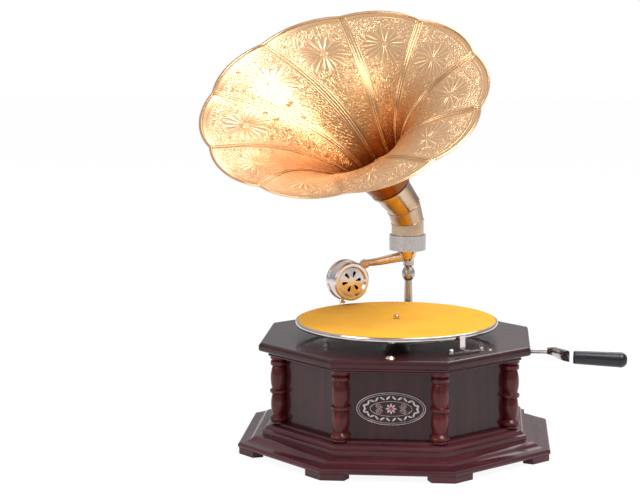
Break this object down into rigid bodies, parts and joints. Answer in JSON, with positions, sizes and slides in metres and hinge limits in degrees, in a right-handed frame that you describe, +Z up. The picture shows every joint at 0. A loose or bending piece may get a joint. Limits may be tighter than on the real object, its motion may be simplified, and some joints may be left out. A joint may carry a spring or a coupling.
{
  "type": "horn gramophone",
  "caption": "Tabletop talking machine: octagonal wooden case with turned corner columns, wind-up turntable, swinging tone arm with sound box, and a petalled brass horn on a rear post.",
  "frame": {"origin": "centre of the octagonal base, on the plane its feet stand on", "axes": "+Z up, front of the case towards -Y, crank towards +X"},
  "size_m": [0.5378, 0.385, 0.5437],
  "materials": {
    "mahogany_dark": "high-gloss dark mahogany lacquer",
    "mahogany_red": "high-gloss red mahogany lacquer",
    "nickel": "bright nickel plate",
    "emblem": "thin enamelled metal oval",
    "felt": "short yellow-orange pile",
    "brass": "polished lacquered brass, pink-gold",
    "brass_deep": "polished brass, a little deeper",
    "grip_black": "black lacquered turned wood",
    "motor_iron": "dull grey paint",
    "steel": "bare steel",
    "lead": "cast lead",
    "rubber": "black rubber",
    "mica": "thin mica sheet",
    "pad": "brown leather"
  },
  "bodies": {
    "case": {"bottom_board": "mahogany_dark", "plinth_moulding": "mahogany_red", "corner_feet": "mahogany_dark", "case_panels": "mahogany_dark", "corner_columns": "mahogany_red", "cornice_moulding": "mahogany_red", "top_board": "mahogany_dark", "board_bolts": "nickel", "front_emblem": "emblem", "crank_escutcheon": "nickel", "motor_top_plate": "motor_iron", "motor_bottom_plate": "motor_iron", "plate_pillars": "motor_iron", "rubber_hangers": "rubber", "governor_bearings": "motor_iron", "crank_bearing": "motor_iron", "brake_base": "nickel", "brake_screws": "nickel", "horn_post": "nickel", "horn_ring": "nickel", "stand_screws": "nickel"},
    "turntable": {"platter": "nickel", "felt_mat": "felt", "spindle": "nickel", "worm_wheel": "brass"},
    "barrel": {"spring_barrel": "motor_iron", "barrel_cover": "motor_iron", "mainspring": "steel"},
    "second": {"second_arbor": "steel", "second_wheel": "brass"},
    "governor": {"governor_shaft": "steel", "governor_springs": "steel", "governor_weights": "lead", "governor_disc": "brass"},
    "crank": {"crank_handle": "nickel", "winding_shaft": "steel"},
    "grip": {"crank_grip": "grip_black"},
    "arbor": {"barrel_arbor": "steel", "crown_wheel": "brass"},
    "pawl": {"ratchet_pawl": "steel"},
    "regulator": {"regulator_screw": "nickel"},
    "regulator_arm": {"regulator_lever": "steel"},
    "brake": {"brake_lever": "nickel", "brake_knob": "nickel", "brake_pad": "pad"},
    "tone_arm": {"tone_arm": "nickel", "arm_keeper": "nickel", "swivel_collar": "nickel"},
    "sound_box": {"gooseneck": "nickel", "sound_box_shell": "nickel", "diaphragm_gaskets": "rubber", "diaphragm": "mica", "sound_box_front": "nickel", "needle_bar": "nickel", "needle": "steel"},
    "needle_clamp": {"needle_screw": "nickel"},
    "horn": {"horn_bell": "brass", "horn_elbow": "brass_deep", "throat_band": "brass_deep"}
  },
  "joints": [
    {"name": "platter_spin", "type": "hinge", "parent": "case", "child": "turntable", "pos_m": [0, -0.008, 0.15], "axis": [0, 0, 1], "continuous": true},
    {"name": "barrel_turn", "type": "hinge", "parent": "case", "child": "barrel", "pos_m": [0.058, 0.038, 0.084], "axis": [0, 0, 1], "continuous": true},
    {"name": "second_turn", "type": "hinge", "parent": "case", "child": "second", "pos_m": [0.02809, 0.00252, 0.07], "axis": [0, 0, 1], "continuous": true},
    {"name": "governor_spin", "type": "hinge", "parent": "case", "child": "governor", "pos_m": [-0.0234, -0.034, 0.088], "axis": [0, 1, 0], "continuous": true},
    {"name": "crank_turn", "type": "hinge", "parent": "case", "child": "crank", "pos_m": [0.14, 0.038, 0.1128], "axis": [1, 0, 0], "continuous": true},
    {"name": "arbor_turn", "type": "hinge", "parent": "case", "child": "arbor", "pos_m": [0.058, 0.038, 0.1], "axis": [0, 0, 1], "continuous": true},
    {"name": "grip_spin", "type": "hinge", "parent": "crank", "child": "grip", "pos_m": [0.215, -0.024, 0.118], "axis": [0.9992, 0, -0.04], "continuous": true},
    {"name": "pawl_swing", "type": "hinge", "parent": "case", "child": "pawl", "pos_m": [0.0925, 0.0535, 0.1178], "axis": [1, 0, 0], "range_deg": [0, 16], "stiffness_Nm_per_rad": 0.0005, "springref_deg": -11.46},
    {"name": "regulator_turn", "type": "hinge", "parent": "case", "child": "regulator", "pos_m": [-0.081, -0.088, 0.14], "axis": [0, 0, 1], "range_deg": [-150, 150]},
    {"name": "regulator_lever_swing", "type": "hinge", "parent": "case", "child": "regulator_arm", "pos_m": [-0.06, -0.082, 0.088], "axis": [0, 0, 1], "range_deg": [-3, 3]},
    {"name": "brake_swing", "type": "hinge", "parent": "case", "child": "brake", "pos_m": [0.1065, -0.101, 0.141], "axis": [0, 0, 1], "range_deg": [0, 25]},
    {"name": "arm_swing", "type": "hinge", "parent": "case", "child": "tone_arm", "pos_m": [0.008, 0.113, 0.231], "axis": [0, 0, 1], "range_deg": [-25, 47]},
    {"name": "sound_box_lift", "type": "hinge", "parent": "tone_arm", "child": "sound_box", "pos_m": [-0.05045, 0.11795, 0.2093], "axis": [-0.891, -0.1109, -0.4403], "range_deg": [0, 60]},
    {"name": "needle_screw_turn", "type": "hinge", "parent": "sound_box", "child": "needle_clamp", "pos_m": [-0.07766, 0.08315, 0.16525], "axis": [0.515, -0.8572, 0], "range_deg": [0, 360]},
    {"name": "horn_turn", "type": "hinge", "parent": "case", "child": "horn", "pos_m": [0.008, 0.113, 0.24], "axis": [0, 0, 1], "continuous": true}
  ],
  "couplings": [
    {"joint": "barrel_turn", "follows": "platter_spin", "ratio": 0.052083},
    {"joint": "second_turn", "follows": "platter_spin", "ratio": -0.25},
    {"joint": "governor_spin", "follows": "platter_spin", "ratio": 12},
    {"joint": "arbor_turn", "follows": "crank_turn", "ratio": 0.33333},
    {"joint": "regulator_lever_swing", "follows": "regulator_turn", "ratio": 0.02}
  ]
}
